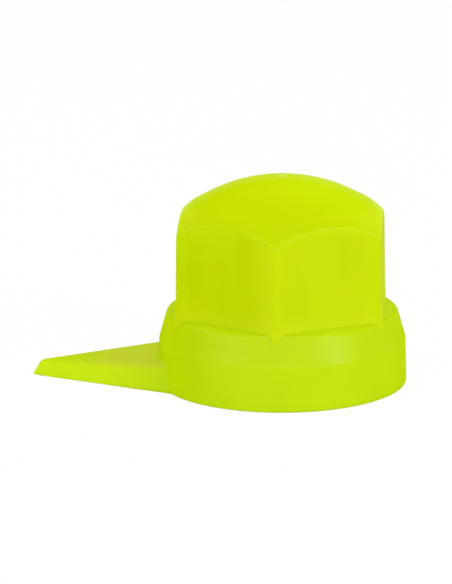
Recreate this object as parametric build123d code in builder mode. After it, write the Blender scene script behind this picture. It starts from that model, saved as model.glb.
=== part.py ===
"""Loose wheel nut indicator: a one-piece moulded cap that pushes over a wheel nut.

The hexagonal body hugs the nut, a sphere domes its end, a round collar skirts the nut's foot and a flat
pointer grows out of the collar. A nut that works loose turns its pointer away from its neighbour's.

Frame: the axis of the nut is Z, the open base lies on Z = 0 and the pointer runs along -X.
Lengths are in millimetres and angles in degrees.
"""

import os
from math import asin, atan2, cos, degrees, pi, radians, sin, tan

from build123d import *

# The nut that the cap fits over, and the room beside its flats at the socket's mouth
nut_across_flats = 33.0
nut_clearance = 0.2

# Moulded wall, and the draft that lets the mould open along the axis and the socket tighten on the nut
wall = 1.8
draft = 0.9

# Hexagonal body
body_corner_radius = 0.9
socket_corner_radius = 0.5

# Dome: one sphere trims the hexagon, so each flat ends in an arch like a real nut's
dome_height = 37.87
dome_radius = 29.4
dome_edge_radius = 0.35

# Gate mark, left at the top of the dome where the mould was fed
gate_radius = 0.55
gate_height = 0.15

# Collar: a drafted band, a cone above it and a rounded shoulder that meets the flats on a ledge
collar_clearance = 1.64
bore_lead_in = 0.5
band_height = 8.2
band_draft = 1.5
band_round = 0.4
cone_angle = 16.1
ledge_height = 13.5
shoulder_round = 0.9
base_edge_chamfer = 0.25

# Pointer: a drafted wedge, flat underneath, whose top slopes down to the tip
pointer_length = 23.64
pointer_half_angle = 23.1
pointer_side_draft = 13.0
pointer_root_height = 4.55
pointer_tip_height = 3.0
pointer_edge_radius = 0.9
pointer_tip_radius = 0.35
pointer_root_fillet = 1.0

HEX_SIDES = 6
FLATS_FACE_X = 30
POLES_ALONG_Y = (90, 0, 0)

# Hexagon: the wall stands outside the socket, and both lean in with the draft
ledge_apothem = nut_across_flats / 2 + nut_clearance + wall
base_apothem = ledge_apothem + ledge_height * tan(radians(draft))
socket_apothem = base_apothem - wall
dome_centre = dome_height - dome_radius

# Collar: its bore clears the corners of the nut, and its wall and cone run parallel inside and out
bore_radius = nut_across_flats / 2 / cos(pi / HEX_SIDES) + collar_clearance
band_radius = bore_radius + wall
base_radius = band_radius + band_height * tan(radians(band_draft))
ledge_radius = band_radius - (ledge_height - band_height) * tan(radians(cone_angle))
roof_height = ledge_height - wall
roof_radius = bore_radius - (roof_height - band_height) * tan(radians(cone_angle))

# Pointer: its drafted sides start where they pass nearest to the axis, inside the collar, and meet in a
# front edge that leans back from the tip and is then rounded
pointer_reach = base_radius + pointer_length
half_angle = radians(pointer_half_angle)
side_draft = radians(pointer_side_draft)
lean = atan2(tan(side_draft), sin(half_angle))
nose_half_angle = asin(sin(half_angle) * cos(side_draft) * cos(lean) + sin(side_draft) * sin(lean))
nose_setback = pointer_tip_radius * (1 / sin(nose_half_angle) - 1) / cos(lean)
pointer_apex = pointer_reach + nose_setback
root_setback = pointer_apex * sin(half_angle) ** 2
root_half_width = root_setback / tan(half_angle)
top_slope = degrees(atan2(pointer_root_height - pointer_tip_height, pointer_length))

os.makedirs("parts", exist_ok=True)

# Pointer: one half of the wedge gets its rounded top edge and is mirrored, then the nose is rounded
with BuildPart() as pointer:
    with BuildSketch(Plane.XY):
        with BuildLine():
            Polyline(
                (-root_setback, root_half_width),
                (-pointer_apex, 0),
                (-root_setback, -root_half_width),
                close=True,
            )
        make_face()
    extrude(amount=ledge_height, taper=pointer_side_draft)
    top_plane = Plane((-pointer_reach, 0, pointer_tip_height)).rotated((0, -top_slope, 0))
    split(bisect_by=top_plane, keep=Keep.BOTTOM)
    split(bisect_by=Plane.XZ, keep=Keep.TOP)
    top_face = pointer.faces().sort_by(Axis(top_plane.origin, top_plane.z_dir))[-1]
    fillet(top_face.edges().sort_by(SortBy.LENGTH)[-1], pointer_edge_radius)
    mirror(about=Plane.XZ)
    nose_plane = Plane((-pointer_apex, 0, 0), x_dir=(0, 1, 0), z_dir=(sin(lean), 0, cos(lean)))
    with BuildSketch(nose_plane):
        with Locations((0, -pointer_tip_radius * cos(nose_half_angle) ** 2 / sin(nose_half_angle))):
            Rectangle(
                2 * pointer_tip_radius * cos(nose_half_angle),
                pointer_apex,
                align=(Align.CENTER, Align.MIN),
            )
        with Locations((0, -pointer_tip_radius / sin(nose_half_angle))):
            Circle(pointer_tip_radius, mode=Mode.SUBTRACT)
    extrude(amount=ledge_height, both=True, mode=Mode.SUBTRACT)

# Hollow: a hexagonal socket under a domed roof, opening into the round bore of the collar
with BuildPart() as hollow:
    with BuildSketch(Plane.XY):
        RegularPolygon(socket_apothem, HEX_SIDES, major_radius=False, rotation=FLATS_FACE_X)
    extrude(amount=dome_height, taper=draft)
    fillet(hollow.edges().group_by(Axis.Z)[1], socket_corner_radius)
    with Locations((0, 0, dome_centre)):
        Sphere(dome_radius - wall, rotation=POLES_ALONG_Y, mode=Mode.INTERSECT)
    with BuildSketch(Plane.XZ):
        with BuildLine():
            Polyline(
                (0, 0),
                (bore_radius + bore_lead_in, 0),
                (bore_radius, bore_lead_in),
                (bore_radius, band_height),
                (roof_radius, roof_height),
                (0, roof_height),
                close=True,
            )
        make_face()
    revolve(axis=Axis.Z)

with BuildPart() as indicator_cap:
    # Hexagonal body, trimmed by the sphere of the dome
    with BuildSketch(Plane.XY):
        RegularPolygon(base_apothem, HEX_SIDES, major_radius=False, rotation=FLATS_FACE_X)
    extrude(amount=dome_height, taper=draft)
    fillet(indicator_cap.edges().group_by(Axis.Z)[1], body_corner_radius)
    with Locations((0, 0, dome_centre)):
        Sphere(dome_radius, rotation=POLES_ALONG_Y, mode=Mode.INTERSECT)
    fillet(indicator_cap.faces().sort_by(Axis.Z)[-1].edges(), dome_edge_radius)

    # Collar
    with BuildSketch(Plane.XZ) as collar_section:
        with BuildLine():
            Polyline(
                (0, 0),
                (base_radius, 0),
                (band_radius, band_height),
                (ledge_radius, ledge_height),
                (0, ledge_height),
                close=True,
            )
        make_face()
        fillet(collar_section.vertices().sort_by_distance((ledge_radius, ledge_height))[0], shoulder_round)
        fillet(collar_section.vertices().sort_by_distance((band_radius, band_height))[0], band_round)
    revolve(axis=Axis.Z)

    # Pointer, blended into the collar
    add(pointer.part)
    fillet(indicator_cap.edges(Select.NEW), pointer_root_fillet)

    # Broken edge all round the base
    chamfer(indicator_cap.faces().sort_by(Axis.Z)[0].outer_wire().edges(), base_edge_chamfer)

    # Gate mark
    with BuildSketch(Plane.XY.offset(dome_height + gate_height)):
        Circle(gate_radius)
    extrude(amount=-(gate_height + wall))

    # Inside
    add(hollow.part, mode=Mode.SUBTRACT)

indicator_cap.part.label = "indicator_cap"
export_step(indicator_cap.part, "parts/indicator_cap.step")
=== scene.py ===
"""Looks of a loose wheel nut indicator: a moulded cap of fluorescent polyethylene on a plain white stage.

The cap is one closed skin of quads. Its rings are laid out on the sharp form of the cap, azimuth by azimuth,
and are then pulled onto a distance field that holds the rounded edges and the blends. The positions, the
shading normals and the masks of the finish all come from that one field.

Lengths are in metres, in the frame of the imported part: the nut's axis is Z and the pointer runs along -X.
"""

from math import acos, asin, atan2, cos, pi, radians, sin, tan

import bpy
import numpy as np
from bpy.props import FloatProperty, FloatVectorProperty, PointerProperty
from mathutils import Matrix, Vector


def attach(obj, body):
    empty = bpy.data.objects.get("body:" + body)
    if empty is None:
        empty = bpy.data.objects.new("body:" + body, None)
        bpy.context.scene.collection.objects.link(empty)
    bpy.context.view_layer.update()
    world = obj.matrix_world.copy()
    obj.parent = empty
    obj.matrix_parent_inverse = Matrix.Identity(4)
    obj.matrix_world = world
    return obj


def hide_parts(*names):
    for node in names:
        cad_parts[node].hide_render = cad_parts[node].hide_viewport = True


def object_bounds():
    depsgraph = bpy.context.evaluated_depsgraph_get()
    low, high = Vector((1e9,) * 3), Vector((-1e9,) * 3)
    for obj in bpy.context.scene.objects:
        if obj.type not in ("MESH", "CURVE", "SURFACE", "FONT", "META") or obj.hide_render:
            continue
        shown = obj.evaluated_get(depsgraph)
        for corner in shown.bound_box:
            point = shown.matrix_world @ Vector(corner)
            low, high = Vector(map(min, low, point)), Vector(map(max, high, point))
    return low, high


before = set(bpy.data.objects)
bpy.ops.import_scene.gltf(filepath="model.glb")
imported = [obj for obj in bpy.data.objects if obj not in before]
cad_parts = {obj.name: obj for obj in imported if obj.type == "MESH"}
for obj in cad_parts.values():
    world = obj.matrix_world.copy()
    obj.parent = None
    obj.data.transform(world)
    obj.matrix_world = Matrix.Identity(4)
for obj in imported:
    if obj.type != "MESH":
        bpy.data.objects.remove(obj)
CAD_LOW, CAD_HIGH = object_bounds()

bl_info = {
    "name": "Wheel Nut Indicator Cap",
    "version": (1, 0, 0),
    "blender": (4, 5, 0),
    "location": "View3D > Sidebar > Indicator Cap",
    "description": "Draws a moulded wheel nut indicator cap and its white stage",
    "category": "Object",
}

CAP_NODE = "indicator_cap"
SKIN_NAME = "cap_skin"
BODY = "root"
MM = 0.001
TINY = 1e-12

HEX_SIDES = 6
HEX_TURN = 2 * pi / HEX_SIDES
HALF_HEX = pi / HEX_SIDES
LEAD_IN_LEAN = pi / 4

# Blends of the form, and the reach of what swells or rounds off only in places
FOOT_BLEND = 0.2 * MM
INNER_BLEND = 0.15 * MM
CORNER_RUN = 2 * MM
FLARE_RISE = 1.5 * MM
TIP_RUN = 4 * MM
SWELL_TILT = radians(34.5)
SWELL_SPAN = radians(3.3)

# Pull of the skin onto its field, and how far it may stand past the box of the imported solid
PULLS = 8
PROBE = 0.004 * MM
BOX_SLACK = 0.001 * MM

# Rings of each stretch of the skin: their count, and how much they crowd to its start and to its end
ROOF_RINGS = (16, 1.0, 1.3)
SOCKET_RINGS = (14, 1.3, 1.3)
BORE_LEDGE_RINGS = (6, 1.2, 1.2)
BORE_CONE_RINGS = (6, 1.0, 1.0)
BORE_RINGS = (5, 1.0, 1.0)
UNDERSIDE_RINGS = (8, 1.0, 1.6)
RIM_RINGS = (11, 1.5, 1.4)
POINTER_TOP_RINGS = (20, 1.4, 1.2)
BAND_RINGS = (9, 1.0, 1.3)
CONE_RINGS = (26, 1.2, 1.2)
FLAT_RINGS = (22, 1.3, 1.9)
DOME_RINGS = (30, 1.9, 1.3)

# Rings of the gate mark as shares of its radius, and the power by which rings rise at the pointer's root
GATE_RINGS = (1.0, 0.7, 0.35)
ROOT_LIFT_POWER = 3

# Columns of the skin: round the nose, along the pointer, beside each corner, and the steps between them
NOSE_COLUMNS = 6
POINTER_COLUMNS = 44
POINTER_CROWDING = 1.35
POINTER_RUN = 32 * MM
CORNER_COLUMNS = np.radians((0, 0.3, 0.6, 0.9, 1.2, 1.6, 2.3))
LEAST_STEP = radians(0.03)
WIDEST_STEP = radians(2.2)

# How the finish reads the turn of the surface: probes for fine and wide edges, and the sharpest radius
RIM_PROBE = 0.1 * MM
SHARPEST = 0.25 * MM
HALO_PROBE = 1.4 * MM

# Directions that the finish goes by, as parts of a normal: where each begins and where it is full
FACES_UP = (0.55, 0.95)
IS_UPRIGHT = (0.3, 0.0)
FACES_SIDEWAYS = (0.0, 0.5)
FACES_FRONT = (0.24, 0.64)
UNDER_ARCH_LEAN = (0.75, 0.55)
THIN_TOP_LEAN = (0.25, 0.65)
TOP_SHADE_LEAN = (0.3, 0.95)
DIM_RIM_LEAN = (0.0, 0.4)
PAINTED_HAZE_DOME_LEAN = (0.47, 0.62)
MATT_LEAN = (0.5, 0.75)

# Places that the finish goes by: where each begins and where it is full
ON_HEXAGON = (0.15 * MM, 0.05 * MM)
ABOVE_LEDGE = (-0.5 * MM, 0.5 * MM)
AT_LEDGE = (1 * MM, 0.0)
OUTER_LEDGE = (-1.2 * MM, -0.2 * MM)
DIM_LEDGE = (5 * MM, -5 * MM)
CORNER_SIDE = (-12 * MM, 0.0)
ARCH_SIDE = (-4.5 * MM, -9.5 * MM)
ABOVE_BAND = (-0.25 * MM, 0.25 * MM)
LOW_DOWN = (7 * MM, 6 * MM)
THIN_RUN = (20 * MM, 32 * MM)
TOP_SHADE_RUN = (-42 * MM, -31 * MM)
TIP_TOP_RUN = (33 * MM, 36 * MM)
DOME_LIGHT_RISE = (30 * MM, 31 * MM)
SHOULDER_DROP = (33.5 * MM, 31.5 * MM)
GATE_EDGE = (-0.02 * MM, 0.02 * MM)

# Reach of the painted light and shade that fade softly, and the middle of the painted light on the dome
CORNER_REACH = 4 * MM
ARCH_REACH = 5 * MM
FOOT_REACH = 3 * MM
FOOT_LINE_REACH = 1.1 * MM
DOME_LIGHT_REACH = 13 * MM
DOME_LIGHT_X = 9 * MM
DOME_LIGHT_Y = -2 * MM

# Shares of each tone of painted light, shade and highlight, and of the sheen
DIM_RIM_LOSS = 0.72
PAINTED_SHEEN_FLAT_SHARE = 0.13
PAINTED_HAZE_DOME_SHARE = 0.28
HALO_SHARE = 0.15
THIN_SHARE = 0.78
THIN_TOP_LOSS = 0.85
CORNER_GLOW = 0.9
CORNER_WARMTH = 0.7
FOOT_SHARE = 0.75
FOOT_LINE_SHARE = 0.9
CORNER_FOOT_LOSS = 0.6
CREASE_SHARE = 0.05
LEDGE_SHARE = 0.3
DIM_LEDGE_SHARE = 0.35
CONE_SHARE = 0.25
DOME_FRONT_SHARE = 0.45
TIP_TOP_SHARE = 0.45
RIGHT_FLAT_SHADE = 0.12
PLAIN_SHEEN = 0.5
FLAT_SHEEN_LOSS = 0.35
MATT_SHARE = 0.9

# Layers of the plastic's colour, in order: the mask of the skin, the group's amount and its colour
# The layers are painted light, painted shade and painted highlights
LAYERS = (
    ("painted_glow", "Painted light", "Pale"),
    ("warm_painted_light", "Warmth", "Warm"),
    ("rim", "Painted highlights", "Painted highlight"),
    ("pointer_top_shade", "Top shading", "Shaded top"),
    ("painted_shade", "Painted shade", "Deep"),
    ("gate", "Gate highlighting", "Gate highlight"),
)
STREAK_STRETCH = (1.0, 1.0, 0.03)
NODE_STEP = 250
NODE_ROW = 6

# Finishes, as the cap's materials: scale and depth of the grain, and sheen from face-on to edge-on
BODY_FINISH, COLLAR_FINISH, CORE_FINISH = range(3)
BODY_GRAIN = (1500.0, 0.005 * MM)
COLLAR_GRAIN = (2800.0, 0.012 * MM)
CORE_GRAIN = (1200.0, 0.02 * MM)
BODY_SHEEN = {"From_Min": 0.7, "From_Max": 1.0, "To_Min": 0.03, "To_Max": 1.0}
COLLAR_SHEEN = {"From_Min": 0.1, "From_Max": 0.65, "To_Min": 0.28, "To_Max": 0.05}
CORE_SHEEN = {"From_Min": 0.0, "From_Max": 1.0, "To_Min": 0.05, "To_Max": 0.05}

# Stage: where each softbox hangs, its width and its height, then the floor and the camera's sensor
SOFTBOXES = (
    ("top_softbox", (0.0, 0.0, 1.018), 0.5, 0.5),
    ("side_softbox", (-0.861, 0.094, 0.518), 0.5, 0.5),
    ("right_strip", (0.786, -0.554, 0.294), 0.22, 0.5),
    ("left_strip", (-0.682, -0.677, 0.294), 0.22, 0.5),
)
FLOOR_REACH = 4.0
FLOOR_GAP = 0.02 * MM
SENSOR_WIDTH = 36.0
WHITE = (1, 1, 1, 1)


def length(name, description, millimetres):
    """A length property, shown in scene units, with its default given in millimetres."""
    return FloatProperty(
        name=name,
        description=description,
        default=millimetres * MM,
        min=0.0,
        precision=5,
        unit="LENGTH",
    )


def angle(name, description, degrees):
    """An angle property with its default given in degrees."""
    return FloatProperty(name=name, description=description, default=radians(degrees), unit="ROTATION")


def share(name, description, value):
    """A property between none and all."""
    return FloatProperty(
        name=name,
        description=description,
        default=value,
        min=0.0,
        max=1.0,
        subtype="FACTOR",
    )


def colour(name, description, value):
    """A colour property."""
    return FloatVectorProperty(
        name=name,
        description=description,
        default=value,
        min=0.0,
        max=1.0,
        size=3,
        subtype="COLOR",
    )


def power(name, description, watts):
    """A lamp's power property."""
    return FloatProperty(name=name, description=description, default=watts, min=0.0)


class CapShape(bpy.types.PropertyGroup):
    """Sizes of the moulded cap."""

    nut_across_flats: length("Nut across flats", "Size of the nut inside the socket", 33.0)
    nut_clearance: length("Nut clearance", "Room beside each flat of the nut", 0.2)
    wall: length("Wall", "Thickness of the moulded wall", 1.8)
    draft: angle("Draft", "Lean of the flats towards the axis", 0.9)
    body_corner: length("Body corner", "Radius of the upright corners of the hexagon", 0.9)
    corner_flare: length("Corner flare", "How far the upright corners swell at their foot", 0.13)
    socket_corner: length("Socket corner", "Radius of the upright corners of the socket", 0.5)
    dome_height: length("Dome height", "Height of the dome's top above the base", 37.87)
    dome_radius: length("Dome radius", "Radius of the sphere that domes the hexagon", 29.4)
    dome_swell: length("Dome swell", "How far the dome swells past its sphere above the arches", 0.16)
    dome_edge: length("Dome edge", "Radius of the arched edge between dome and flats", 0.6)
    dome_corner: length("Dome corner", "Radius where the upright corners run into the dome", 1.2)
    gate_radius: length("Gate radius", "Radius of the gate mark on the dome", 0.55)
    gate_height: length("Gate height", "Height of the gate mark over the dome", 0.15)
    collar_clearance: length("Collar clearance", "Room between the nut's corners and the bore", 1.64)
    bore_lead_in: length("Bore lead-in", "Chamfer at the mouth of the bore", 0.5)
    band_height: length("Band height", "Height of the collar's lower band", 8.2)
    band_draft: angle("Band draft", "Lean of the collar's lower band", 1.5)
    band_edge: length("Band edge", "Radius of the edge between band and cone", 0.8)
    cone_angle: angle("Cone angle", "Lean of the collar's cone", 16.1)
    ledge_height: length("Ledge height", "Height of the ledge at the foot of the flats", 13.5)
    shoulder: length("Shoulder", "Radius between the cone and the ledge", 0.9)
    base_edge: length("Base edge", "Radius of the edge all round the base", 0.3)
    tip_edge: length("Tip edge", "Radius of the edge under the pointer's tip", 0.7)
    pointer_length: length("Pointer length", "Reach of the pointer beyond the collar", 23.64)
    pointer_half_angle: angle("Pointer half angle", "Half of the pointer's angle in plan", 23.1)
    pointer_side_draft: angle("Pointer side draft", "Lean of the pointer's sides", 13.0)
    pointer_root_height: length("Pointer root height", "Height of the pointer at the collar", 4.55)
    pointer_tip_height: length("Pointer tip height", "Height of the pointer at its tip", 3.0)
    pointer_edge: length("Pointer edge", "Radius of the pointer's top edges", 0.9)
    pointer_tip: length("Pointer tip", "Radius of the pointer's tip", 0.35)
    pointer_root: length("Pointer root", "Radius of the blend between pointer and collar", 0.7)


class CapFinish(bpy.types.PropertyGroup):
    """Finish of the moulded plastic."""

    body: colour("Body plastic", "Colour of the dome and the flats", (0.594, 0.765, 0.0))
    collar: colour("Collar plastic", "Colour of the collar and the pointer", (0.582, 0.784, 0.002))
    # Colour of the melt clouds, and of the painted shade in creases, on ledge, cone, right flats, dome front
    # and tip
    deep_clouds_and_shade: colour("Deep plastic", "Colour in crevices and melt clouds", (0.49, 0.64, 0.0))
    # Colour of the draw streaks, and of the painted light on edges, corners, thin places and the dome
    pale_glow_and_streaks: colour("Pale plastic", "Colour where thin or rounded plastic gathers light", (0.64, 0.86, 0.003))
    # Colour of the painted highlight on the arched edges, and of the painted sheen on right flats and dome
    # sides
    rim: colour("Painted highlight plastic", "Colour of the arched edge round the dome", (0.75, 0.92, 0.035))
    # Colour of the painted highlight on the gate mark
    gate_highlight: colour("Gate highlight plastic", "Colour of the gate mark", (0.76, 0.86, 0.15))
    # Colour of the painted light by the corners, at the foot of the flats and on the inner ledge
    warm_painted_light: colour("Warm plastic", "Colour by the corners and the foot of the flats", (0.715, 0.84, 0.012))
    # Colour of the painted shade on the pointer's top, greyed as a painted reflection
    shaded_top: colour("Shaded top plastic", "Colour of the pointer's top", (0.556, 0.645, 0.025))
    satin: share("Satin roughness", "Roughness of the dome and the flats", 0.5)
    grained: share("Grained roughness", "Roughness of the collar and the pointer", 0.34)
    core: share("Core roughness", "Roughness of the inside", 0.5)


class StudioSetup(bpy.types.PropertyGroup):
    """Camera and light of the stage."""

    camera_place: FloatVectorProperty(
        name="Camera place",
        description="Where the camera stands",
        default=(0.032792, -0.497724, 0.139426),
        size=3,
        precision=5,
        unit="LENGTH",
        subtype="TRANSLATION",
    )
    camera_heading: angle("Camera heading", "Turn of the camera about the upright axis", 4.9449)
    camera_tilt: angle("Camera tilt", "How far the camera looks down", 13.8532)
    camera_roll: angle("Camera roll", "Turn of the picture", -0.4596)
    camera_lens: FloatProperty(
        name="Camera lens",
        description="Focal length on a 36 mm sensor, in millimetres",
        default=173.76,
        min=1.0,
    )
    top_power: power("Top power", "Power of the softbox overhead, in watts", 3.0)
    side_power: power("Side power", "Power of the softbox on the pointer's side, in watts", 1.36)
    right_power: power("Right power", "Power of the right strip light, in watts", 2.55)
    left_power: power("Left power", "Power of the left strip light, in watts", 0.6)
    ambient: FloatVectorProperty(
        name="Ambient",
        description="Light from the sides of the studio, from its front and back, and from above",
        default=(0.34, 1.08, 0.4),
        size=3,
        min=0.0,
    )
    floor: colour("Floor", "Colour of the floor", (0.9, 0.9, 0.9))
    whiteness: share("Floor whiteness", "How far the floor shows as plain white to the camera", 0.97)


def ramp(value, start, full):
    """How far a value has come from a start to where it is full, between 0 and 1."""
    return np.clip((value - start) / (full - start), 0, 1)


def bell(distance, reach):
    """A share that is 1 at no distance and fades softly over a reach."""
    return np.exp(-((distance / reach) ** 2))


def fold(azimuth):
    """Azimuths counted from the middle of the nearest flat, to either side."""
    return np.abs((azimuth + HALF_HEX) % HEX_TURN - HALF_HEX)


def round_union(a, b, radius):
    """Join two distance fields with a hollow blend between them."""
    blend = np.hypot(np.maximum(radius - a, 0), np.maximum(radius - b, 0))
    return np.maximum(radius, np.minimum(a, b)) - blend


def round_common(a, b, radius):
    """Keep what lies inside both distance fields, with a rounded edge between them."""
    blend = np.hypot(np.maximum(radius + a, 0), np.maximum(radius + b, 0))
    return np.minimum(-radius, np.maximum(a, b)) + blend


def blend_for(radius, turn):
    """The blend of a distance field that is as wide as a fillet of this radius on an edge of this turn."""
    return radius * tan(turn / 2) * sin(turn)


def spread(count, start, end):
    """Shares from 0 to 1, drawn together at the start or the end by the given powers."""
    even = np.linspace(0, 1, count)
    near = even**start
    far = (1 - even) ** end
    return near / (near + far)


class CapForm:
    """The form of the cap: derived sizes, distance fields, and the sharp outline at each azimuth."""

    def __init__(self, shape):
        self.shape = shape
        s = shape
        self.ledge_apothem = s.nut_across_flats / 2 + s.nut_clearance + s.wall
        self.body_apothem = self.ledge_apothem + s.ledge_height * tan(s.draft)
        self.socket_apothem = self.body_apothem - s.wall
        self.dome_centre = s.dome_height - s.dome_radius
        self.roof_sphere = s.dome_radius - s.wall
        self.gate_top = s.dome_height + s.gate_height
        self.gate_edge = s.gate_height / 3
        self.bore_radius = s.nut_across_flats / 2 / cos(HALF_HEX) + s.collar_clearance
        self.mouth_radius = self.bore_radius + s.bore_lead_in
        self.band_radius = self.bore_radius + s.wall
        self.base_radius = self.band_radius + s.band_height * tan(s.band_draft)
        self.ledge_radius = self.band_radius - (s.ledge_height - s.band_height) * tan(s.cone_angle)
        self.roof_height = s.ledge_height - s.wall
        self.roof_radius = self.bore_radius - (self.roof_height - s.band_height) * tan(s.cone_angle)
        self.pointer_reach = self.base_radius + s.pointer_length
        self.slope = (s.pointer_root_height - s.pointer_tip_height) / s.pointer_length
        self.set_nose()
        self.set_blends()

    def set_nose(self):
        """The pointer's tip in plan: where its sides would meet, and the circle that rounds it."""
        s = self.shape
        half = s.pointer_half_angle
        lean = atan2(tan(s.pointer_side_draft), sin(half))
        across = sin(half) * cos(s.pointer_side_draft) * cos(lean) + sin(s.pointer_side_draft) * sin(lean)
        setback = s.pointer_tip * (1 / across - 1) / cos(lean)
        self.pointer_apex = self.pointer_reach + setback
        self.nose_radius = setback / (1 / sin(half) - 1)
        self.side_offset = self.pointer_apex * sin(half)
        self.root_setback = self.side_offset * sin(half)

    def set_blends(self):
        """Widths of the blends that stand for the fillets."""
        s = self.shape
        corner_radius = (self.body_apothem - s.body_corner) / cos(HALF_HEX) + s.body_corner
        self.arch_blend = blend_for(s.dome_edge, acos(self.body_apothem / s.dome_radius))
        self.corner_blend = blend_for(s.dome_corner, acos(corner_radius / s.dome_radius))
        self.band_blend = blend_for(s.band_edge, s.cone_angle - s.band_draft)
        self.shoulder_blend = blend_for(s.shoulder, pi / 2 - s.cone_angle)
        self.pointer_blend = blend_for(s.pointer_edge, pi / 2 - s.pointer_side_draft)
        side_turn = pi / 2 - asin(self.side_offset / self.base_radius)
        self.side_root_blend = blend_for(s.pointer_root, side_turn)

    def hexagon(self, p, apothem, corner):
        """Distance from a drafted hexagon with rounded upright corners."""
        x, y, z = p.T
        reach = apothem - z * tan(self.shape.draft)
        radius = np.hypot(x, y)
        folded = fold(np.arctan2(y, x))
        ahead = radius * np.cos(folded)
        aside = radius * np.sin(folded)
        centre = reach - corner
        rounded = np.hypot(ahead - centre, aside - centre * tan(HALF_HEX)) - corner
        return np.where(aside > centre * tan(HALF_HEX), rounded, ahead - reach)

    def corner_distance(self, p):
        """Distance along a flat of the body from its nearer upright corner."""
        x, y, z = p.T
        reach = self.body_apothem - z * tan(self.shape.draft)
        return reach * tan(HALF_HEX) - np.hypot(x, y) * np.sin(fold(np.arctan2(y, x)))

    def near_corner(self, p):
        """Share of what happens only at the upright corners of the body."""
        return bell(self.corner_distance(p), CORNER_RUN)

    def flare(self, p):
        """How far the upright corners swell at their foot, where they run down onto the cone."""
        rise = np.maximum(p[:, 2] - self.shape.ledge_height, 0)
        return self.shape.corner_flare * self.near_corner(p) * bell(rise, FLARE_RISE)

    def body(self, p):
        """Distance from the flats and the upright corners of the body."""
        return self.hexagon(p, self.body_apothem, self.shape.body_corner) - self.flare(p)

    def sphere(self, p, radius):
        """Distance from a sphere about the dome's centre."""
        return np.linalg.norm(p - np.array((0, 0, self.dome_centre)), axis=1) - radius

    def dome(self, p):
        """Distance from the dome: a sphere that swells a little above the arches."""
        tilt = np.arctan2(np.hypot(p[:, 0], p[:, 1]), p[:, 2] - self.dome_centre)
        swell = self.shape.dome_swell * bell(tilt - SWELL_TILT, SWELL_SPAN)
        return self.sphere(p, self.shape.dome_radius) - swell

    def collar(self, p):
        """Distance from the collar: band, cone, shoulder and ledge."""
        s = self.shape
        radius = np.hypot(p[:, 0], p[:, 1])
        height = p[:, 2]
        band = (radius - self.base_radius + height * tan(s.band_draft)) * cos(s.band_draft)
        rise = height - s.band_height
        cone = (radius - self.band_radius + rise * tan(s.cone_angle)) * cos(s.cone_angle)
        sides = round_common(band, cone, self.band_blend)
        return round_common(sides, height - s.ledge_height, self.shoulder_blend)

    def pointer(self, p):
        """Distances from the pointer's sides, nose included, and from its sloping top."""
        s = self.shape
        x, y, z = p.T
        half = s.pointer_half_angle
        beside = np.abs(y)
        offset = self.side_offset - z * tan(s.pointer_side_draft)
        flank = beside * cos(half) - x * sin(half) - offset
        ahead = -x - (offset - self.nose_radius) / sin(half)
        nose = np.hypot(ahead, beside) - self.nose_radius
        sides = np.where(ahead * cos(half) > beside * sin(half), nose, flank) * cos(s.pointer_side_draft)
        sides = np.maximum(sides, x + self.root_setback)
        top = z - s.pointer_tip_height - (self.pointer_reach + x) * self.slope
        return sides, top

    def outside(self, p):
        """Distance from the outer form of the cap."""
        s = self.shape
        x, y, z = p.T
        arch = self.arch_blend + (self.corner_blend - self.arch_blend) * self.near_corner(p)
        cap = round_common(self.body(p), self.dome(p), arch)
        cap = round_union(cap, self.collar(p), FOOT_BLEND)
        sides, top = self.pointer(p)
        over_top = ramp(top - sides, -s.pointer_root / 2, s.pointer_root / 2)
        root = self.side_root_blend + (s.pointer_root - self.side_root_blend) * over_top
        cap = round_union(cap, round_common(sides, top, self.pointer_blend), root)
        gate = round_common(np.hypot(x, y) - s.gate_radius, z - self.gate_top, self.gate_edge)
        cap = round_union(cap, gate, self.gate_edge)
        near_tip = ramp(-x, self.pointer_reach - TIP_RUN, self.pointer_reach)
        return round_common(cap, -z, s.base_edge + (s.tip_edge - s.base_edge) * near_tip)

    def inside(self, p):
        """Distance from the walls of the hollow, counted from within the wall."""
        s = self.shape
        hexagon = self.hexagon(p, self.socket_apothem, s.socket_corner)
        socket = round_common(hexagon, self.sphere(p, self.roof_sphere), INNER_BLEND)
        radius = np.hypot(p[:, 0], p[:, 1])
        height = p[:, 2]
        lead_in = (radius - self.mouth_radius + height) * cos(LEAD_IN_LEAN)
        mouth = np.minimum(lead_in, radius - self.bore_radius)
        rise = height - s.band_height
        cone = (radius - self.bore_radius + rise * tan(s.cone_angle)) * cos(s.cone_angle)
        bore = round_common(np.maximum(mouth, cone), height - self.roof_height, INNER_BLEND)
        return -round_union(socket, bore, INNER_BLEND)

    def hexagon_radius(self, azimuth, height, apothem, corner):
        """Radius of the drafted hexagon at an azimuth and a height."""
        reach = apothem - height * tan(self.shape.draft)
        folded = fold(azimuth)
        centre = (reach - corner) / cos(HALF_HEX)
        off = HALF_HEX - folded
        under = np.maximum(corner**2 - (centre * np.sin(off)) ** 2, 0)
        rounded = centre * np.cos(off) + np.sqrt(under)
        in_corner = reach * np.tan(folded) > (reach - corner) * tan(HALF_HEX)
        return np.where(in_corner, rounded, reach / np.cos(folded))

    def body_radius(self, azimuth, height):
        """Radius of the body at an azimuth and a height."""
        radius = self.hexagon_radius(azimuth, height, self.body_apothem, self.shape.body_corner)
        points = np.stack((radius * np.cos(azimuth), radius * np.sin(azimuth), height), axis=1)
        return radius + self.flare(points)

    def collar_radius(self, height):
        """Radius of the collar's band and cone at a height."""
        s = self.shape
        band = self.base_radius - height * tan(s.band_draft)
        cone = self.band_radius - (height - s.band_height) * tan(s.cone_angle)
        return np.minimum(band, cone)

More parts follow.
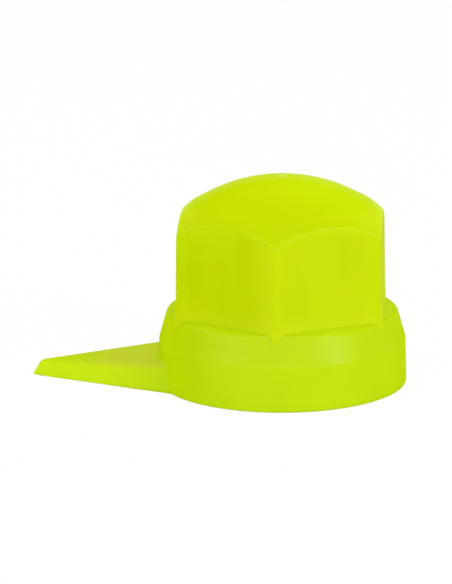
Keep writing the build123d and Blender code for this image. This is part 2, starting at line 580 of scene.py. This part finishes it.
    def pointer_radius(self, azimuth, height):
        """Radius of the pointer's side at an azimuth and a height."""
        s = self.shape
        half = s.pointer_half_angle
        off = np.abs((azimuth % (2 * pi)) - pi)
        offset = self.side_offset - height * tan(s.pointer_side_draft)
        flank = offset / np.maximum(np.sin(off + half), TINY)
        centre = (offset - self.nose_radius) / sin(half)
        touch = np.arctan2(self.nose_radius * cos(half), centre + self.nose_radius * sin(half))
        under = np.maximum(self.nose_radius**2 - (centre * np.sin(off)) ** 2, 0)
        nose = centre * np.cos(off) + np.sqrt(under)
        return np.where(off < touch, nose, np.where(off < pi / 2 - half, flank, 0))

    def top_height(self, azimuth, radius):
        """Height of the pointer's top at an azimuth and a radius."""
        ahead = -radius * np.cos(azimuth)
        return self.shape.pointer_tip_height + (self.pointer_reach - ahead) * self.slope

    def arch_height(self, azimuth, apothem, corner, radius):
        """Height at which the flats of a hexagon meet a sphere about the dome's centre."""
        height = np.full_like(azimuth, self.shape.ledge_height)
        for _ in range(PULLS):
            flat = self.hexagon_radius(azimuth, height, apothem, corner)
            height = self.dome_centre + np.sqrt(radius**2 - flat**2)
        return height

    def body_arch(self, azimuth):
        """Height at which the flats of the body meet its dome."""
        return self.arch_height(azimuth, self.body_apothem, self.shape.body_corner, self.shape.dome_radius)


def column_azimuths(form):
    """Azimuths of the skin's columns, close together at the tip, along the pointer and at the corners."""
    half = form.shape.pointer_half_angle
    nose_ahead = form.pointer_reach - form.nose_radius * (1 - sin(half))
    nose_beside = form.nose_radius * cos(half)
    nose = atan2(nose_beside, nose_ahead) * np.linspace(0, 1, NOSE_COLUMNS)
    run = np.linspace(0, 1, POINTER_COLUMNS)[1:] ** POINTER_CROWDING * POINTER_RUN
    flank = np.arctan2(nose_beside + run * sin(half), nose_ahead - run * cos(half))
    pointer = np.concatenate((nose, flank))
    marks = [pi + pointer, pi - pointer]
    for middle in HALF_HEX + HEX_TURN * np.arange(HEX_SIDES):
        marks += [middle + CORNER_COLUMNS, middle - CORNER_COLUMNS]
    marks = np.unique(np.round(np.concatenate(marks) % (2 * pi), 7))
    kept = marks[np.diff(marks, append=marks[0] + 2 * pi) > LEAST_STEP]
    columns = []
    for start, gap in zip(kept, np.diff(kept, append=kept[0] + 2 * pi)):
        count = np.ceil(gap / WIDEST_STEP)
        columns.append(start + gap * np.arange(count) / count)
    return np.concatenate(columns)


def inner_rings(form, azimuth):
    """Rings of the hollow, from its top down to the mouth, as radii and heights."""
    s = form.shape
    none = np.zeros_like(azimuth)
    arch = form.arch_height(azimuth, form.socket_apothem, s.socket_corner, form.roof_sphere)
    arch_radius = form.hexagon_radius(azimuth, arch, form.socket_apothem, s.socket_corner)
    lean = np.arcsin(arch_radius / form.roof_sphere)
    rings = []
    for step in spread(*ROOF_RINGS)[1:-1]:
        height = form.dome_centre + form.roof_sphere * np.cos(lean * step)
        rings.append((form.roof_sphere * np.sin(lean * step), height))
    for step in spread(*SOCKET_RINGS):
        height = arch + (form.roof_height - arch) * step
        rings.append((form.hexagon_radius(azimuth, height, form.socket_apothem, s.socket_corner), height))
    foot = rings[-1][0]
    for step in spread(*BORE_LEDGE_RINGS)[1:]:
        rings.append((foot + (form.roof_radius - foot) * step, none + form.roof_height))
    for step in spread(*BORE_CONE_RINGS)[1:]:
        height = form.roof_height + (s.band_height - form.roof_height) * step
        rings.append((form.bore_radius - (height - s.band_height) * tan(s.cone_angle) + none, height + none))
    for step in spread(*BORE_RINGS)[1:]:
        height = s.band_height + (s.bore_lead_in - s.band_height) * step
        rings.append((form.bore_radius + none, height + none))
    rings.append((form.mouth_radius - s.bore_lead_in / 2 + none, s.bore_lead_in / 2 + none))
    return rings


def base_rings(form, azimuth):
    """Rings of the flat underside, from the mouth out to the base edge."""
    none = np.zeros_like(azimuth)
    rim = np.maximum(form.base_radius, form.pointer_radius(azimuth, none))
    rings = []
    for step in spread(*UNDERSIDE_RINGS):
        rings.append((form.mouth_radius + (rim - form.mouth_radius) * step, none))
    return rings


def collar_rings(form, azimuth):
    """Rings of the pointer and the collar, from the base edge up to the foot of the flats."""
    s = form.shape
    none = np.zeros_like(azimuth)
    crest = none + s.pointer_root_height
    for _ in range(PULLS):
        rim = np.maximum(form.pointer_radius(azimuth, crest), form.collar_radius(crest))
        crest = np.clip(form.top_height(azimuth, rim), s.pointer_tip_height, s.pointer_root_height)
    rings = []
    for step in spread(*RIM_RINGS)[1:]:
        height = crest * step
        rings.append((np.maximum(form.pointer_radius(azimuth, height), form.collar_radius(height)), height))
    edge = rings[-1][0]
    for step in spread(*POINTER_TOP_RINGS)[1:]:
        height = crest + (s.pointer_root_height - crest) * step + s.pointer_root * step**ROOT_LIFT_POWER
        rings.append((edge + (form.collar_radius(height) - edge) * step, height))
    start = rings[-1][1]
    for step in spread(*BAND_RINGS)[1:]:
        height = start + (s.band_height - start) * step
        rings.append((form.collar_radius(height), height))
    meet = none + s.ledge_height
    for _ in range(PULLS):
        flat = form.body_radius(azimuth, meet)
        rise = (form.band_radius - flat) / tan(s.cone_angle)
        meet = np.clip(s.band_height + rise, s.band_height, s.ledge_height)
    cone = (meet - s.band_height) / cos(s.cone_angle)
    inward = np.maximum(form.collar_radius(meet) - flat, 0)
    for step in spread(*CONE_RINGS)[1:]:
        run = (cone + inward) * step
        height = s.band_height + np.minimum(run, cone) * cos(s.cone_angle)
        rings.append((form.collar_radius(height) - np.maximum(run - cone, 0), height))
    return rings


def body_rings(form, azimuth, foot):
    """Rings of the flats and the dome, from the foot of the flats up to the gate mark."""
    s = form.shape
    none = np.zeros_like(azimuth)
    arch = form.body_arch(azimuth)
    rings = []
    for step in spread(*FLAT_RINGS)[1:]:
        height = foot + (arch - foot) * step
        rings.append((form.body_radius(azimuth, height), height))
    lean = np.arcsin(rings[-1][0] / s.dome_radius)
    stop = asin(s.gate_radius / s.dome_radius)
    for step in spread(*DOME_RINGS)[1:]:
        tilt = lean + (stop - lean) * step
        rings.append((s.dome_radius * np.sin(tilt), form.dome_centre + s.dome_radius * np.cos(tilt)))
    for step in GATE_RINGS:
        rings.append((s.gate_radius * step + none, form.gate_top + none))
    return rings


def ring_points(rings, azimuth):
    """Rings of radii and heights as one list of points, ring by ring."""
    radii = np.array([radius for radius, _ in rings])
    heights = np.array([height for _, height in rings])
    points = np.stack((radii * np.cos(azimuth), radii * np.sin(azimuth), heights), axis=2)
    return points.reshape(-1, 3)


def slope_of(field, points):
    """Direction in which a distance field grows at each point."""
    shifts = PROBE * np.eye(3)
    grown = np.stack([field(points + shift) - field(points - shift) for shift in shifts], axis=1)
    return grown / np.maximum(np.linalg.norm(grown, axis=1, keepdims=True), TINY)


def pulled(field, points):
    """Points pulled onto the surface of a distance field."""
    for _ in range(PULLS):
        points = points - field(points)[:, None] * slope_of(field, points)
    return points


def turning(field, points, probe):
    """How sharply a surface turns outwards, or inwards where negative, over a probe: one over metres."""
    middle = field(points)
    shifts = probe * np.eye(3)
    bends = [field(points + shift) + field(points - shift) - 2 * middle for shift in shifts]
    return sum(bends) / probe**2


def skin_turning(form, hollow_points, outer_points, probe):
    """How sharply the skin turns at each of its points, the hollow's points first."""
    hollow = turning(form.inside, hollow_points, probe)
    outer = turning(form.outside, outer_points, probe)
    return np.concatenate((hollow, outer))


class CapMasks:
    """Masks of the finish at each point of the skin, the hollow first, most of them painted light and shade.
    Left is the pointer's side.
    """

    def __init__(self, form, hollow_points, outer_points, normals):
        s = form.shape
        points = np.concatenate((hollow_points, outer_points))
        self.x, self.y, self.z = points.T
        self.nx, self.ny, self.nz = normals.T
        self.gate_rise = self.z - s.dome_height
        self.fine = skin_turning(form, hollow_points, outer_points, RIM_PROBE)
        self.wide = skin_turning(form, hollow_points, outer_points, HALO_PROBE)
        self.outer = np.arange(len(points)) >= len(hollow_points)
        self.facing_up = ramp(self.nz, *FACES_UP)
        self.facing_left = ramp(-self.nx, *FACES_SIDEWAYS)
        self.upright = ramp(np.abs(self.nz), *IS_UPRIGHT)
        self.leaning = 1 - self.upright
        self.above_ledge = self.z - s.ledge_height
        self.on_hexagon = ramp(np.abs(form.body(points)), *ON_HEXAGON) * self.upright
        self.on_hexagon = self.on_hexagon * (self.z > s.band_height)
        self.on_body = np.maximum(ramp(self.above_ledge, *ABOVE_LEDGE), self.on_hexagon)
        self.on_cone = ramp(self.z - s.band_height, *ABOVE_BAND) * (1 - self.on_body) * (1 - self.facing_up)
        self.at_ledge = ramp(np.abs(self.above_ledge), *AT_LEDGE)
        self.outer_ledge = ramp(np.hypot(self.x, self.y) - form.ledge_radius, *OUTER_LEDGE)
        self.low = ramp(self.z, *LOW_DOWN)
        self.near_corner = form.near_corner(points)
        # Painted light that seeps round the corners onto the flats that face left
        self.corner = bell(form.corner_distance(points), CORNER_REACH) * self.upright * self.on_body
        self.corner = self.corner * self.facing_left * ramp(self.x, *CORNER_SIDE)
        self.under_arch = form.body_arch(np.arctan2(self.y, self.x)) - self.z
        # Flats that face right, which get painted sheen and painted shade
        self.right_flats = ramp(self.nx, *FACES_SIDEWAYS) * self.upright * self.on_body

    def rim(self):
        """Painted highlight on arched edges, less on the left, and painted sheen on right flats and dome
        sides.
        """
        edges = np.clip(self.fine * SHARPEST, 0, 1) * self.leaning
        edges = edges * (1 - DIM_RIM_LOSS * ramp(-self.nx, *DIM_RIM_LEAN))
        dome_sides = ramp(np.abs(self.nx), *PAINTED_HAZE_DOME_LEAN) * self.leaning * self.on_body
        painted_sheen = PAINTED_SHEEN_FLAT_SHARE * self.right_flats + PAINTED_HAZE_DOME_SHARE * dome_sides
        return np.maximum(edges, self.outer * painted_sheen)

    def painted_glow(self):
        """Painted light on rounded and thin places, on a patch of the dome, by the corners and under the
        left arches.
        """
        halo = HALO_SHARE * np.clip(self.wide * HALO_PROBE, 0, 1) * self.leaning * (1 - self.low)
        painted_dome_light = bell(np.hypot(self.x - DOME_LIGHT_X, self.y - DOME_LIGHT_Y), DOME_LIGHT_REACH) * ramp(self.z, *DOME_LIGHT_RISE)
        thin = ramp(-self.x, *THIN_RUN) * self.low * (1 - THIN_TOP_LOSS * ramp(self.nz, *THIN_TOP_LEAN))
        arch = bell(self.under_arch, ARCH_REACH) * ramp(self.nz, *UNDER_ARCH_LEAN) * self.on_body
        arch = arch * self.facing_left * ramp(self.x, *ARCH_SIDE)
        places = painted_dome_light + arch + THIN_SHARE * thin + CORNER_GLOW * self.corner
        return halo + self.outer * places

    def warm_painted_light(self):
        """Painted light, warmer in tone, by the corners, along the foot of the flats and on the ledge beside
        it.
        """
        foot = FOOT_SHARE * bell(self.above_ledge, FOOT_REACH)
        foot = foot + FOOT_LINE_SHARE * bell(self.above_ledge, FOOT_LINE_REACH)
        foot = foot * self.upright * self.on_body * (1 - CORNER_FOOT_LOSS * self.near_corner)
        inner_ledge = self.at_ledge * self.facing_up * (1 - self.outer_ledge)
        corner_foot = self.near_corner**2 * self.at_ledge * (1 - self.on_hexagon)
        return self.outer * (CORNER_WARMTH * self.corner + foot + inner_ledge + corner_foot)

    def painted_shade(self):
        """Painted shade in creases, on ledge, cone and right flats, at the dome's front and on the tip."""
        crease = CREASE_SHARE * np.clip(-self.wide * HALO_PROBE, 0, 1) * self.leaning
        ledge = LEDGE_SHARE * self.outer_ledge + DIM_LEDGE_SHARE * ramp(self.x, *DIM_LEDGE)
        ledge = ledge * self.at_ledge * (1 - self.on_hexagon) * (1 - self.near_corner)
        dome_front = ramp(-self.ny, *FACES_FRONT) * self.leaning * self.on_body
        tip_top = self.facing_up * self.low * ramp(-self.x, *TIP_TOP_RUN)
        deeper = np.maximum(ledge, CONE_SHARE * self.on_cone) + RIGHT_FLAT_SHADE * self.right_flats
        deeper = deeper + DOME_FRONT_SHARE * dome_front + TIP_TOP_SHARE * tip_top
        return crease + self.outer * deeper

    def pointer_top_shade(self):
        """Painted shade on the pointer's top, greyed as a painted reflection, which fades towards the tip.
        """
        return self.outer * ramp(self.nz, *TOP_SHADE_LEAN) * self.low * ramp(self.x, *TOP_SHADE_RUN)

    def sheen(self):
        """The sheen: full on the cone and the dome's sides, weak on the flats and the collar's left side."""
        dome_sides = ramp(self.z, *SHOULDER_DROP) * self.on_body * self.leaning
        sheen = PLAIN_SHEEN + (1 - PLAIN_SHEEN) * (self.on_cone + dome_sides)
        sheen = np.clip(sheen - FLAT_SHEEN_LOSS * self.upright * self.on_body, 0, 1)
        return sheen * (1 - MATT_SHARE * ramp(-self.nx, *MATT_LEAN) * (1 - self.on_body))

    def named(self):
        """All the masks, by the names that the finish reads."""
        masks = {
            "rim": self.rim(),
            "painted_glow": self.painted_glow(),
            "warm_painted_light": self.warm_painted_light(),
            "painted_shade": self.painted_shade(),
            "pointer_top_shade": self.pointer_top_shade(),
            "sheen": self.sheen(),
            # Painted highlight on the top of the gate mark
            "gate": ramp(self.gate_rise, *GATE_EDGE),
            "upright": self.upright,
        }
        return {name: np.clip(values, 0, 1) for name, values in masks.items()}


def skin_faces(ring_count, column_count):
    """Quads between neighbouring rings, and a fan at each end."""
    column = np.arange(column_count)
    after = (column + 1) % column_count
    first = 1
    last = first + ring_count * column_count
    faces = [(0, first + b, first + a) for a, b in zip(column, after)]
    for ring in range(ring_count - 1):
        low = first + ring * column_count
        high = low + column_count
        faces += [(low + a, low + b, high + b, high + a) for a, b in zip(column, after)]
    top = last - column_count
    faces += [(top + a, top + b, last) for a, b in zip(column, after)]
    return faces


def new_tree(material):
    """An empty node tree of a material or a world."""
    material.use_nodes = True
    material.node_tree.nodes.clear()
    return material.node_tree


def add(tree, kind, **settings):
    """A node of a tree, laid out row by row, with its plain settings."""
    row, column = divmod(len(tree.nodes), NODE_ROW)
    node = tree.nodes.new(kind)
    node.location = (NODE_STEP * column, -NODE_STEP * row)
    for name, value in settings.items():
        setattr(node, name, value)
    return node


def put(node, **values):
    """Values of a node's inputs, by name with underscores for spaces."""
    for name, value in values.items():
        node.inputs[name.replace("_", " ")].default_value = value


def worked_out(tree, operation, *values, clamp=False):
    """The result of a math node, whose values are sockets or plain numbers."""
    node = add(tree, "ShaderNodeMath", operation=operation, use_clamp=clamp)
    for socket, value in zip(node.inputs, values):
        if isinstance(value, bpy.types.NodeSocket):
            tree.links.new(value, socket)
        else:
            socket.default_value = value
    return node.outputs["Value"]


def group_socket(group, name, kind, output=False, default=None):
    """A named socket of a node group."""
    side = "OUTPUT" if output else "INPUT"
    socket = group.interface.new_socket(name=name, in_out=side, socket_type=kind)
    if default is not None:
        socket.default_value = default


def mixed_in(group, factor, base, layer):
    """A colour laid over another one by a factor."""
    mix = add(group, "ShaderNodeMix", data_type="RGBA")
    group.links.new(factor, mix.inputs["Factor"])
    group.links.new(base, mix.inputs["A"])
    group.links.new(layer, mix.inputs["B"])
    return mix.outputs["Result"]


def mask_of(group, name, amount):
    """A mask of the skin, times an amount."""
    mask = add(group, "ShaderNodeAttribute", attribute_name=name)
    return worked_out(group, "MULTIPLY", mask.outputs["Fac"], amount, clamp=True)


def noise_mask(group, vector, scale, shown, **settings):
    """A noise mask, spread over the part of its range that is shown."""
    noise = add(group, "ShaderNodeTexNoise")
    put(noise, **settings)
    group.links.new(vector, noise.inputs["Vector"])
    group.links.new(scale, noise.inputs["Scale"])
    range_node = add(group, "ShaderNodeMapRange")
    put(range_node, From_Min=shown[0], From_Max=shown[1])
    group.links.new(noise.outputs["Fac"], range_node.inputs["Value"])
    return range_node.outputs["Result"]


def tint_group():
    """Group: the plastic's colour, with melt clouds, draw streaks and the masks' layers of painted light and
    shade.
    """
    group = bpy.data.node_groups.new("Polyethylene tint", "ShaderNodeTree")
    for name in ("Plastic", "Deep", "Pale", "Warm", "Painted highlight", "Shaded top", "Gate highlight"):
        group_socket(group, name, "NodeSocketColor")
    for name, default in (
        ("Cloud scale", 90.0),
        ("Clouds", 0.4),
        ("Streak scale", 320.0),
        ("Streaks", 0.3),
        ("Painted highlights", 0.3),
        ("Painted light", 0.5),
        ("Warmth", 0.5),
        ("Painted shade", 0.5),
        ("Top shading", 1.0),
        ("Gate highlighting", 1.0),
    ):
        group_socket(group, name, "NodeSocketFloat", default=default)
    group_socket(group, "Colour", "NodeSocketColor", output=True)
    given = add(group, "NodeGroupInput").outputs
    result = add(group, "NodeGroupOutput")
    place = add(group, "ShaderNodeTexCoord").outputs["Object"]
    stretched = add(group, "ShaderNodeMapping")
    put(stretched, Scale=STREAK_STRETCH)
    group.links.new(place, stretched.inputs["Vector"])
    drawn = stretched.outputs["Vector"]
    clouds = noise_mask(group, place, given["Cloud scale"], shown=(0.3, 0.75), Detail=4.0, Distortion=0.4)
    streaks = noise_mask(group, drawn, given["Streak scale"], shown=(0.4, 0.7), Detail=2.0, Roughness=0.6)
    clouds = worked_out(group, "MULTIPLY", clouds, given["Clouds"], clamp=True)
    on_sides = mask_of(group, "upright", given["Streaks"])
    streaks = worked_out(group, "MULTIPLY", streaks, on_sides, clamp=True)
    tint = mixed_in(group, clouds, given["Plastic"], given["Deep"])
    tint = mixed_in(group, streaks, tint, given["Pale"])
    for mask, amount, layer in LAYERS:
        tint = mixed_in(group, mask_of(group, mask, given[amount]), tint, given[layer])
    group.links.new(tint, result.inputs["Colour"])
    return group


def grain_group():
    """Group: the grain that the mould leaves, as a height, with a roughness and glints that follow it."""
    group = bpy.data.node_groups.new("Mould grain", "ShaderNodeTree")
    for name, default in (("Grain scale", 3000.0), ("Roughness", 0.45), ("Unevenness", 0.1)):
        group_socket(group, name, "NodeSocketFloat", default=default)
    for name in ("Height", "Roughness", "Glints"):
        group_socket(group, name, "NodeSocketFloat", output=True)
    given = add(group, "NodeGroupInput").outputs
    result = add(group, "NodeGroupOutput").inputs
    place = add(group, "ShaderNodeTexCoord").outputs["Object"]
    grain = noise_mask(group, place, given["Grain scale"], shown=(0.25, 0.75), Detail=3.0, Roughness=0.65)
    centred = worked_out(group, "SUBTRACT", grain, 0.5)
    uneven = worked_out(group, "MULTIPLY_ADD", centred, given["Unevenness"], given["Roughness"])
    glints = add(group, "ShaderNodeMapRange")
    put(glints, From_Min=0.1, From_Max=0.9, To_Min=0.4, To_Max=1.6)
    sheen = add(group, "ShaderNodeAttribute", attribute_name="sheen")
    placed = worked_out(group, "MULTIPLY", glints.outputs["Result"], sheen.outputs["Fac"])
    link = group.links.new
    link(grain, glints.inputs["Value"])
    link(grain, result["Height"])
    link(uneven, result["Roughness"])
    link(placed, result["Glints"])
    return group


def plastic_material(name, groups, tint_values, grain_values, grain_depth, sheen):
    """A finish of the cap's plastic: light sinks into it, and its sheen changes from face-on to edge-on."""
    material = bpy.data.materials.new(name)
    tree = new_tree(material)
    result = add(tree, "ShaderNodeOutputMaterial")
    surface = add(tree, "ShaderNodeBsdfPrincipled")
    put(surface, IOR=1.5, Specular_IOR_Level=0.0, Coat_IOR=1.5, Coat_Roughness=grain_values["Roughness"])
    put(surface, Subsurface_Weight=0.12, Subsurface_Radius=(1.0, 1.0, 0.2), Subsurface_Scale=3 * MM)
    tint, grain = (add(tree, "ShaderNodeGroup", node_tree=group) for group in groups)
    put(tint, **tint_values)
    put(grain, **grain_values)
    bump = add(tree, "ShaderNodeBump")
    put(bump, Strength=0.4, Distance=grain_depth)
    facing = add(tree, "ShaderNodeLayerWeight")
    put(facing, Blend=0.5)
    fading = add(tree, "ShaderNodeMapRange")
    put(fading, **sheen)
    coat = worked_out(tree, "MULTIPLY", fading.outputs["Result"], grain.outputs["Glints"])
    link = tree.links.new
    link(facing.outputs["Facing"], fading.inputs["Value"])
    link(coat, surface.inputs["Coat Weight"])
    link(tint.outputs["Colour"], surface.inputs["Base Color"])
    link(grain.outputs["Roughness"], surface.inputs["Roughness"])
    link(grain.outputs["Height"], bump.inputs["Height"])
    link(bump.outputs["Normal"], surface.inputs["Normal"])
    link(surface.outputs["BSDF"], result.inputs["Surface"])
    return material


def direct_rays(tree):
    """A mask of the rays that show a background: from the camera, in a reflection or through glass."""
    path = add(tree, "ShaderNodeLightPath").outputs
    seen = worked_out(tree, "MAXIMUM", path["Is Camera Ray"], path["Is Glossy Ray"])
    return worked_out(tree, "MAXIMUM", seen, path["Is Transmission Ray"])


def mixed_shader(tree, factor, shaders, result):
    """Two shaders mixed by a factor, as the surface of a material or a world."""
    mixed = add(tree, "ShaderNodeMixShader")
    for value, socket in zip((factor, *shaders), mixed.inputs):
        tree.links.new(value, socket)
    tree.links.new(mixed.outputs["Shader"], result.inputs["Surface"])


def floor_material(studio):
    """A pale floor that shows as white to the camera and keeps the object's shadow."""
    material = bpy.data.materials.new("white_floor")
    tree = new_tree(material)
    result = add(tree, "ShaderNodeOutputMaterial")
    paint = add(tree, "ShaderNodeBsdfDiffuse")
    put(paint, Color=(*studio.floor, 1))
    white = add(tree, "ShaderNodeEmission")
    shown = worked_out(tree, "MULTIPLY", direct_rays(tree), studio.whiteness)
    mixed_shader(tree, shown, (paint.outputs["BSDF"], white.outputs["Emission"]), result)
    return material


def link_to_scene(name, data):
    """A new object of the scene."""
    made = bpy.data.objects.new(name, data)
    bpy.context.scene.collection.objects.link(made)
    return made


class INDICATOR_OT_build_cap(bpy.types.Operator):
    """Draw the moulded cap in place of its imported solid"""

    bl_idname = "indicator.build_cap"
    bl_label = "Build Cap"
    bl_options = {"REGISTER", "UNDO"}

    def execute(self, context):
        form = CapForm(context.scene.cap_shape)
        cap = self.draw_skin(form)
        self.check_box(cap)
        self.dress(cap, context.scene.cap_finish)
        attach(cap, BODY)
        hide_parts(CAP_NODE)
        return {"FINISHED"}

    def draw_skin(self, form):
        """The closed skin, with its normals, its masks and the finish of each face."""
        azimuth = column_azimuths(form)
        columns = len(azimuth)
        inner = inner_rings(form, azimuth)
        base = base_rings(form, azimuth)
        collar = collar_rings(form, azimuth)
        body = body_rings(form, azimuth, collar[-1][1])
        outer = base + collar + body
        roof = np.array(((0, 0, form.dome_centre + form.roof_sphere),))
        crown = np.array(((0, 0, form.gate_top),))
        hollow_points = pulled(form.inside, np.concatenate((roof, ring_points(inner, azimuth))))
        outer_points = pulled(form.outside, np.concatenate((ring_points(outer, azimuth), crown)))
        points = np.concatenate((hollow_points, outer_points))
        hollow_normals = slope_of(form.inside, hollow_points)
        outer_normals = slope_of(form.outside, outer_points)
        normals = np.concatenate((hollow_normals, outer_normals))
        mesh = bpy.data.meshes.new(CAP_NODE + "_skin")
        mesh.from_pydata(points.tolist(), [], skin_faces(len(inner) + len(outer), columns))
        mesh.polygons.foreach_set("use_smooth", np.ones(len(mesh.polygons), bool))
        mesh.normals_split_custom_set_from_vertices(normals.tolist())
        for name, values in CapMasks(form, hollow_points, outer_points, normals).named().items():
            mask = mesh.attributes.new(name, "FLOAT", "POINT")
            mask.data.foreach_set("value", values.astype(np.float32))
        core_end = columns * (len(inner) + len(base))
        collar_end = core_end + columns * len(collar)
        finish = np.full(len(mesh.polygons), BODY_FINISH, np.int32)
        finish[:core_end] = CORE_FINISH
        finish[core_end:collar_end] = COLLAR_FINISH
        mesh.polygons.foreach_set("material_index", finish)
        if mesh.validate():
            raise RuntimeError("the skin of the cap has faulty faces")
        return link_to_scene(SKIN_NAME, mesh)

    def check_box(self, cap):
        """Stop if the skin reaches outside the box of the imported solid."""
        corners = np.array(cap.bound_box)
        room_below = corners.min(0) - np.array(CAD_LOW)
        room_above = np.array(CAD_HIGH) - corners.max(0)
        if min(room_below.min(), room_above.min()) < -BOX_SLACK:
            raise RuntimeError("the skin of the cap reaches outside the box of its packed solid")

    def dress(self, cap, finish):
        """The three finishes of the plastic: satin body, grained collar and pointer, and the inside."""
        groups = (tint_group(), grain_group())
        body_tint = {
            "Plastic": (*finish.body, 1),
            "Deep": (*finish.deep_clouds_and_shade, 1),
            "Pale": (*finish.pale_glow_and_streaks, 1),
            "Warm": (*finish.warm_painted_light, 1),
            "Painted highlight": (*finish.rim, 1),
            "Shaded top": (*finish.shaded_top, 1),
            "Gate highlight": (*finish.gate_highlight, 1),
            "Streaks": 0.24,
            "Painted highlights": 0.8,
            "Painted light": 0.5,
            "Warmth": 0.6,
            "Painted shade": 1.0,
            "Gate highlighting": 0.75,
        }
        collar_tint = {**body_tint, "Plastic": (*finish.collar, 1), "Streaks": 0.0, "Painted highlights": 0.0, "Painted light": 0.9}
        core_tint = {**body_tint, "Streaks": 0.1, "Painted highlights": 0.0, "Top shading": 0.0}
        for name, tint_values, roughness, (grain_scale, grain_depth), sheen in (
            ("satin_body", body_tint, finish.satin, BODY_GRAIN, BODY_SHEEN),
            ("grained_collar", collar_tint, finish.grained, COLLAR_GRAIN, COLLAR_SHEEN),
            ("core_side", core_tint, finish.core, CORE_GRAIN, CORE_SHEEN),
        ):
            grain_values = {"Grain_scale": grain_scale, "Roughness": roughness, "Unevenness": 0.12}
            material = plastic_material(name, groups, tint_values, grain_values, grain_depth, sheen)
            cap.data.materials.append(material)


class INDICATOR_OT_set_stage(bpy.types.Operator):
    """Lay the white floor and set up the light and the camera"""

    bl_idname = "indicator.set_stage"
    bl_label = "Set Stage"
    bl_options = {"REGISTER", "UNDO"}

    def execute(self, context):
        if SKIN_NAME not in bpy.data.objects:
            raise RuntimeError("the stage is set round the cap, so the cap is built first")
        studio = context.scene.cap_studio
        self.lay_floor(studio)
        self.light_world(context.scene, studio)
        powers = (studio.top_power, studio.side_power, studio.right_power, studio.left_power)
        for softbox, watts in zip(SOFTBOXES, powers):
            self.hang_softbox(*softbox, watts)
        self.set_camera(context.scene, studio)
        context.scene.view_settings.view_transform = "Standard"
        return {"FINISHED"}

    def lay_floor(self, studio):
        """A wide floor just under the base of the cap."""
        height = CAD_LOW.z - FLOOR_GAP
        signs = ((-1, -1), (1, -1), (1, 1), (-1, 1))
        corners = [(FLOOR_REACH * x, FLOOR_REACH * y, height) for x, y in signs]
        mesh = bpy.data.meshes.new("floor")
        mesh.from_pydata(corners, [], [(0, 1, 2, 3)])
        mesh.materials.append(floor_material(studio))
        link_to_scene("floor", mesh)

    def light_world(self, scene, studio):
        """Soft light from all round, behind a white background."""
        world = bpy.data.worlds.new("white_studio")
        tree = new_tree(world)
        result = add(tree, "ShaderNodeOutputWorld")
        around, white = (add(tree, "ShaderNodeBackground") for _ in range(2))
        put(around, Color=WHITE)
        put(white, Color=WHITE)
        direction = add(tree, "ShaderNodeTexCoord").outputs["Generated"]
        squares = add(tree, "ShaderNodeVectorMath", operation="MULTIPLY")
        level = add(tree, "ShaderNodeVectorMath", operation="DOT_PRODUCT")
        level.inputs[1].default_value = studio.ambient
        link = tree.links.new
        link(direction, squares.inputs[0])
        link(direction, squares.inputs[1])
        link(squares.outputs["Vector"], level.inputs[0])
        link(level.outputs["Value"], around.inputs["Strength"])
        shaders = (around.outputs["Background"], white.outputs["Background"])
        mixed_shader(tree, direct_rays(tree), shaders, result)
        scene.world = world

    def hang_softbox(self, name, place, width, height, watts):
        """An oblong softbox aimed at the cap."""
        lamp = bpy.data.lights.new(name, "AREA")
        lamp.shape = "RECTANGLE"
        lamp.size = width
        lamp.size_y = height
        lamp.energy = watts
        box = link_to_scene(name, lamp)
        box.location = place
        aim = (CAD_LOW + CAD_HIGH) / 2 - Vector(place)
        box.rotation_euler = aim.to_track_quat("-Z", "Y").to_euler()

    def set_camera(self, scene, studio):
        """A long lens at the viewing angle of the picture."""
        data = bpy.data.cameras.new("camera")
        data.lens = studio.camera_lens
        data.sensor_width = SENSOR_WIDTH
        camera = link_to_scene("camera", data)
        turn = Matrix.Rotation(studio.camera_heading, 4, "Z")
        tilt = Matrix.Rotation(pi / 2 - studio.camera_tilt, 4, "X")
        roll = Matrix.Rotation(studio.camera_roll, 4, "Z")
        camera.matrix_world = Matrix.Translation(studio.camera_place) @ turn @ tilt @ roll
        scene.camera = camera


class INDICATOR_PT_panel(bpy.types.Panel):
    """Sizes, finish and stage of the cap"""

    bl_idname = "INDICATOR_PT_panel"
    bl_label = "Indicator Cap"
    bl_space_type = "VIEW_3D"
    bl_region_type = "UI"
    bl_category = "Indicator Cap"

    def draw(self, context):
        for group, button in (
            (context.scene.cap_shape, None),
            (context.scene.cap_finish, INDICATOR_OT_build_cap.bl_idname),
            (context.scene.cap_studio, INDICATOR_OT_set_stage.bl_idname),
        ):
            box = self.layout.box()
            for name in group.__annotations__:
                box.prop(group, name)
            if button:
                box.operator(button)


CLASSES = (
    CapShape,
    CapFinish,
    StudioSetup,
    INDICATOR_OT_build_cap,
    INDICATOR_OT_set_stage,
    INDICATOR_PT_panel,
)


def register():
    for item in CLASSES:
        bpy.utils.register_class(item)
    bpy.types.Scene.cap_shape = PointerProperty(type=CapShape)
    bpy.types.Scene.cap_finish = PointerProperty(type=CapFinish)
    bpy.types.Scene.cap_studio = PointerProperty(type=StudioSetup)


def unregister():
    del bpy.types.Scene.cap_studio
    del bpy.types.Scene.cap_finish
    del bpy.types.Scene.cap_shape
    for item in reversed(CLASSES):
        bpy.utils.unregister_class(item)


def main():
    register()
    bpy.ops.indicator.build_cap()
    bpy.ops.indicator.set_stage()


if __name__ == "__main__":
    main()
